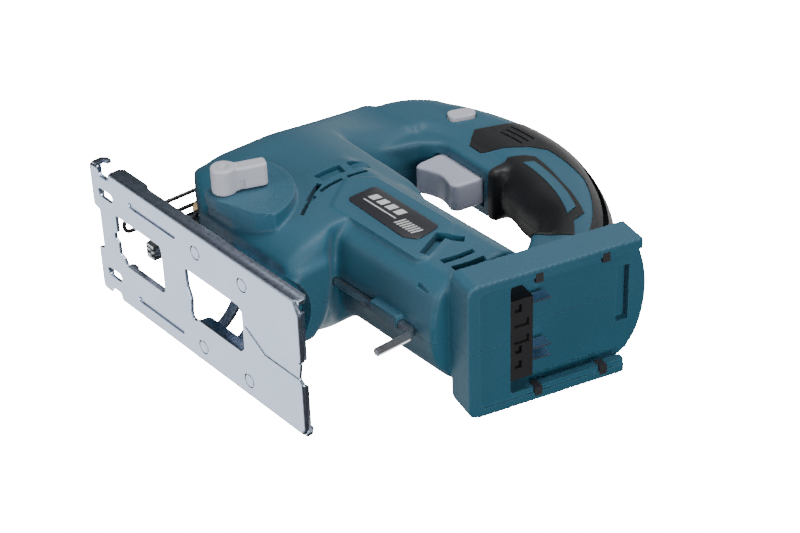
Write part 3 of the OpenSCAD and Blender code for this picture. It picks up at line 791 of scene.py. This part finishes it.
def make_grips(grips):
    """Rubber spine, cheeks and coloured inlays, cut from the swollen handle."""
    spine = keep(copy_of(grips, "spine_rubber"), grip_cutter("spine", spine_outline()))
    cut(spine, arc_bar("spine_core", [(60, -14.4), (GRIP_R - 5, -14.4), (GRIP_R - 5, 14.4), (60, 14.4)], 30, 130))
    for k in range(9):
        y = -14 + 3.5 * k
        reach = GRIP_R - 0.5 - max(0.0, abs(y) - 3) ** 2 / 30
        cut(spine, arc_bar(f"groove{k}", [(reach - 1.3, y - 0.6), (reach + 9, y - 0.6), (reach + 9, y + 0.6),
                                          (reach - 1.3, y + 0.6)], 40, 92))
    for k, r in enumerate((106, 110, 114)):
        cut(spine, *(arc_bar(f"tip{k}{s}", [(r, s * 17.6), (r, s * 25), (r + 1.2, s * 25), (r + 1.2, s * 17.6)],
                             86, 95) for s in (-1, 1)))
    finish_piece(spine, "soft_grip", "body", "soft_grip", "spine_grip", angle=40)
    rail = keep(copy_of(swell(copy_of(grips, "tmp"), 0.25), "rail"), grip_cutter("inlay", inlay_outline()))
    bpy.data.objects.remove(bpy.data.objects["tmp"])
    cut(rail, box_of("middle", (-200, -13, -10), (300, 13, 300)))
    finish_piece(rail, "housing", "body", "housing", "grip_inlays", angle=40)
    for name, y0, y1 in (("left", -200, -SEAM), ("right", SEAM, 200)):
        s = -1 if y0 < -1 else 1
        panel = keep(copy_of(grips, f"{name}_rubber"), grip_cutter("cheek", cheek_outline()),
                     box_of("side", (-300, y0, -100), (400, y1, 400)))
        cut(panel, prism_y("inlay_seat", inlay_outline(-0.2), *sorted((s * 12.5, s * 40))))
        for k, a in enumerate((73, 67, 61, 55, 49)):
            top, low = polar(103, a + 1.5), polar(95, a - 1)
            dash = [top, low, (low[0] + 0.7, low[1]), (top[0] + 0.7, top[1])]
            cut(panel, prism_y(f"dash{k}", dash, *sorted((s * 17.6, s * 30))))
        finish_piece(panel, "soft_grip", "body", "soft_grip", f"{name}_grip", angle=40)
    bpy.data.objects.remove(grips)


def make_label():
    plate = bevel(prism_y("label_sheet", label_outline(), -HALF_BODY - 1.55, -HALF_BODY - 0.9), 0.15)
    finish_piece(plate, "label", "body", "label", "label_plate")
    y0, y1 = -HALF_BODY - 1.64, -HALF_BODY - 1.5
    marks = []
    for k in range(4):
        x = 31 + 6.4 * k
        marks.append(prism_y("bar", [(x, 86.5), (x + 1.2, 91.5), (x + 5.6, 91.5), (x + 4.4, 86.5)], y0, y1))
    marks.append(prism_y("rule", [(31, 83.6), (31.2, 84.4), (56, 84.1), (55.8, 83.3)], y0, y1))
    for k in range(7):
        x = 58 + 2.1 * k
        marks.append(prism_y("hatch", [(x, 80.6), (x + 1.6, 86.8), (x + 2.6, 86.8), (x + 1.0, 80.6)], y0, y1))
    print_layer = marks[0]
    add(print_layer, *marks[1:])
    print_layer.name = "label_print"
    finish_piece(print_layer, "print_white", "body", "label")


# ---- controls

def make_trigger():
    side = [(-10.5, 151), (-12.5, 156), (-12.3, 176), (22, 176), (22.4, 168), (20, 154.5), (16, 152.6),
            (9, 155.4), (3, 156), (-4, 154)]
    piece = prism_y("trigger_shape", round_corners(side, 2.5), -8.2, 8.2)
    soften(piece, 0.55, 26)
    finish_piece(piece, "grey_plastic", "trigger", "grey_plastic", "trigger", angle=60)


def make_lock_button():
    piece = prism_y("lock_shape", lock_outline(), -HALF_GRIP - 2.4, -HALF_GRIP + 5)
    soften(piece, 0.35, 8)
    for k in (-1, 1):
        x, z = -19.0 + k * 1.6, 189.5 + k * 2.6
        cut(piece, box_of("grip_notch", (x + 0.8, -HALF_GRIP - 4, z - 0.7), (x + 5, -HALF_GRIP - 1.6, z + 0.7)))
    finish_piece(piece, "pale_grey", "lock", "grey_plastic", "lock_button", angle=50)


def make_selector():
    hub = prism_y("hub", circle(*KNOB, 6.4, 48), -HALF_BODY - 19.6, -HALF_BODY - 5.7)
    c, s = math.cos(LEVER_ANGLE), math.sin(LEVER_ANGLE)

    def along(u, v):
        return (KNOB[0] + u * c + v * s, KNOB[1] - u * s + v * c)
    bar = prism_y("bar", [along(u, v) for u, v in rounded(-4, 4, -3, 21.8, 2)], -HALF_BODY - 18.6, -HALF_BODY - 6.2)
    piece = add(hub, bar)
    soften(piece, 0.45, 20)
    dimple = loft("dimple", [[place(x, y, z) for x, z in circle(*KNOB, r, 32)]
                             for y, r in ((-HALF_BODY - 25, 3.6), (-HALF_BODY - 19.2, 3.0), (-HALF_BODY - 18, 1.6))])
    cut(piece, dimple)
    cut(piece, prism_y("pointer_notch", circle(*along(4.2, 8.5), 1.5, 24), -HALF_BODY - 12, -HALF_BODY - 4))
    finish_piece(piece, "pale_grey", "selector", "grey_plastic", "selector_knob", angle=45)


def make_dial_marks():
    """Four step marks and a thin ring moulded on the boss round the lever."""
    y = BOSS_FACE
    marks = [prism_y("ring", ring_strip(KNOB, r - 0.2, r + 0.2, 0, 96, 40), y - 0.1, y + 0.3) for r in (24, 32.6)]
    for k in range(4):
        a = 84 - 25 * k
        marks.append(prism_y("mark", ring_strip(KNOB, 26.4, 30.4, a - 0.7, a + 0.7, 3), y - 0.14, y + 0.3))
        marks.append(prism_y("foot", ring_strip(KNOB, 26.4, 27.1, a - 3, a + 3, 3), y - 0.14, y + 0.3))
    piece = marks[0]
    add(piece, *marks[1:])
    piece.name = "dial_marks"
    finish_piece(piece, "housing", "body", "housing")


# ---- shoe

def make_shoe():
    half = SHOE_W / 2
    outline = round_corners([
        (-SHOE_L / 2, -half + 1), (-SHOE_L / 2, -14), (-SHOE_L / 2 + 5, -13), (-SHOE_L / 2 + 5, 11.6),
        (-SHOE_L / 2, 12.6), (-SHOE_L / 2, half - 1), (-80, half), (-79, half - 4), (-71, half - 4), (-70, half),
        (SHOE_L / 2 - 3, half), (SHOE_L / 2, half - 4), (SHOE_L / 2, 8), (SHOE_L / 2 - 3.2, 5.6),
        (SHOE_L / 2 - 1.6, -3.5), (SHOE_L / 2, -5.5), (SHOE_L / 2, -half + 7), (SHOE_L / 2 - 3.5, -half),
        (-70, -half), (-71, -half + 4), (-79, -half + 4), (-80, -half)], 1.6, 4)
    rings = []
    for z, inset in ((0, 1.5), (0.12, 0.85), (0.45, 0.3), (1.0, 0), (SHOE_T, 0)):
        rings.append([place(x * (1 - 2 * inset / SHOE_L), y * (1 - inset / half), z) for x, y in outline])
    plate = loft("shoe_sheet", rings)
    front_window = [(-66.5, -15.5), (-27, -15.5), (-26, -12), (-26, 11), (-28, 12.6), (-61, 12.6), (-63, 9),
                    (-66.5, 8), (-66.5, 1), (-69.5, 0), (-69.5, -4), (-66.5, -5)]
    rear_window = [(-5.5, -13), (39, -13), (41, -10), (41, 11), (38, 14), (2, 14), (0.5, 15.5), (-3, 15.5),
                   (-3.5, 12), (-2.5, 4), (-5, -2), (-5.5, -8)]
    cut(plate, prism_z("front_window", round_corners(front_window, 1.2, 4), -5, 5),
        prism_z("rear_window", round_corners(rear_window, 1.4, 4), -5, 5))
    for s in (-1, 1):
        cut(plate, prism_z("oval", rounded(-80.5, -67.5, s * 23.9 - 2.6, s * 23.9 + 2.6, 2.4), -5, 5))
    # turned-up flanges, lips, hooks and raised ribs
    for s in (-1, 1):
        lo, hi = sorted((s * half, s * (half - SHOE_T)))
        side = [(-69.5, 1), (-69.5, 7), (-67.5, 9), (-47, 9), (-43, 7), (84, 7), (86.5, 4.5), (86.5, 1)]
        hook = [(-86, 1), (-86.5, 7), (-84, 9.5), (-80.5, 9.5), (-80.5, 7), (-83, 6.4), (-82, 1)]
        add(plate, prism_y("flange", side, lo, hi), prism_y("hook", hook, lo, hi))
        rib = rounded(-53, -11, s * 28.1 - 2.2, s * 28.1 + 2.2, 2.1)
        add(plate, prism_z("rib", rib, SHOE_T - 0.5, SHOE_T + 0.8))
        cut(plate, prism_z("rib_hollow", rounded(-52.4, -11.6, s * 28.1 - 1.9, s * 28.1 + 1.9, 1.8), -1, 0.8))
    for y0, y1 in ((-half + 2.6, -15), (13.6, half - 2.6)):
        add(plate, box_of("lip", (-SHOE_L / 2, y0, 0.9), (-SHOE_L / 2 + SHOE_T, y1, 6.4)))
    add(plate, prism_y("front_upstand", [(-61, 0.1), (-61, 3.4), (-59.5, 4.5), (-56.5, 4.5), (-55, 3.2), (-31, 3.2),
                                         (-30, 0.1)], 12.5, 14.3),
        prism_y("rear_upstand", [(2.5, 0.1), (3, 5), (5, 6.5), (36, 6.5), (37.5, 5), (37.5, 0.1)], 14, 15.8))
    cut(plate, prism_z("step", [(42, -3.5), (88, -3.5), (88, 6), (58, 6)], -1, 0.5))
    for x in (5, 43):
        for s in (-1, 1):
            y = s * SHOE_W * 0.36 + 1
            add(plate, prism_z("weld_top", circle(x, y, 3.7, 32), SHOE_T - 0.3, SHOE_T + 0.6))
            ring = prism_z("weld_ring", circle(x, y, 4.0, 40), -1, 0.7)
            cut(ring, prism_z("weld_core", circle(x, y, 3.1, 40), -2, 2))
            cut(plate, ring)
    for y0, y1 in ((-half + 6, -6), (9, half - 6)):
        add(plate, box_of("rear_roll", (SHOE_L / 2 - 1.7, y0, 0.9), (SHOE_L / 2 - 0.1, y1, 3.3)))
    bevel(plate, 0.3, 2, 35)
    finish_piece(plate, "zinc_steel", "shoe", "zinc_steel", "shoe_plate", angle=28)
    for face in plate.data.polygons:
        if abs(face.normal.z) > 0.999:
            face.use_smooth = False


# ---- CAD nodes that keep their shape

def dress_frame_nodes():
    """Each CAD node that shows gets its material and smooth round faces."""
    slots = {row["node"]: row["material_slot"] for row in frame["record"]["subparts"]}
    for name, obj in NODES.items():
        obj.data.materials.clear()
        obj.data.materials.append(MATERIALS[slots[name]])
        for polygon in obj.data.polygons:
            polygon.use_smooth = True
        mod = obj.modifiers.new("edges", "EDGE_SPLIT")
        mod.split_angle = math.radians(30)


make_camera()
make_studio()
dress_frame_nodes()
make_grips(make_housing())
make_label()
make_trigger()
make_lock_button()
make_selector()
make_dial_marks()
make_shoe()
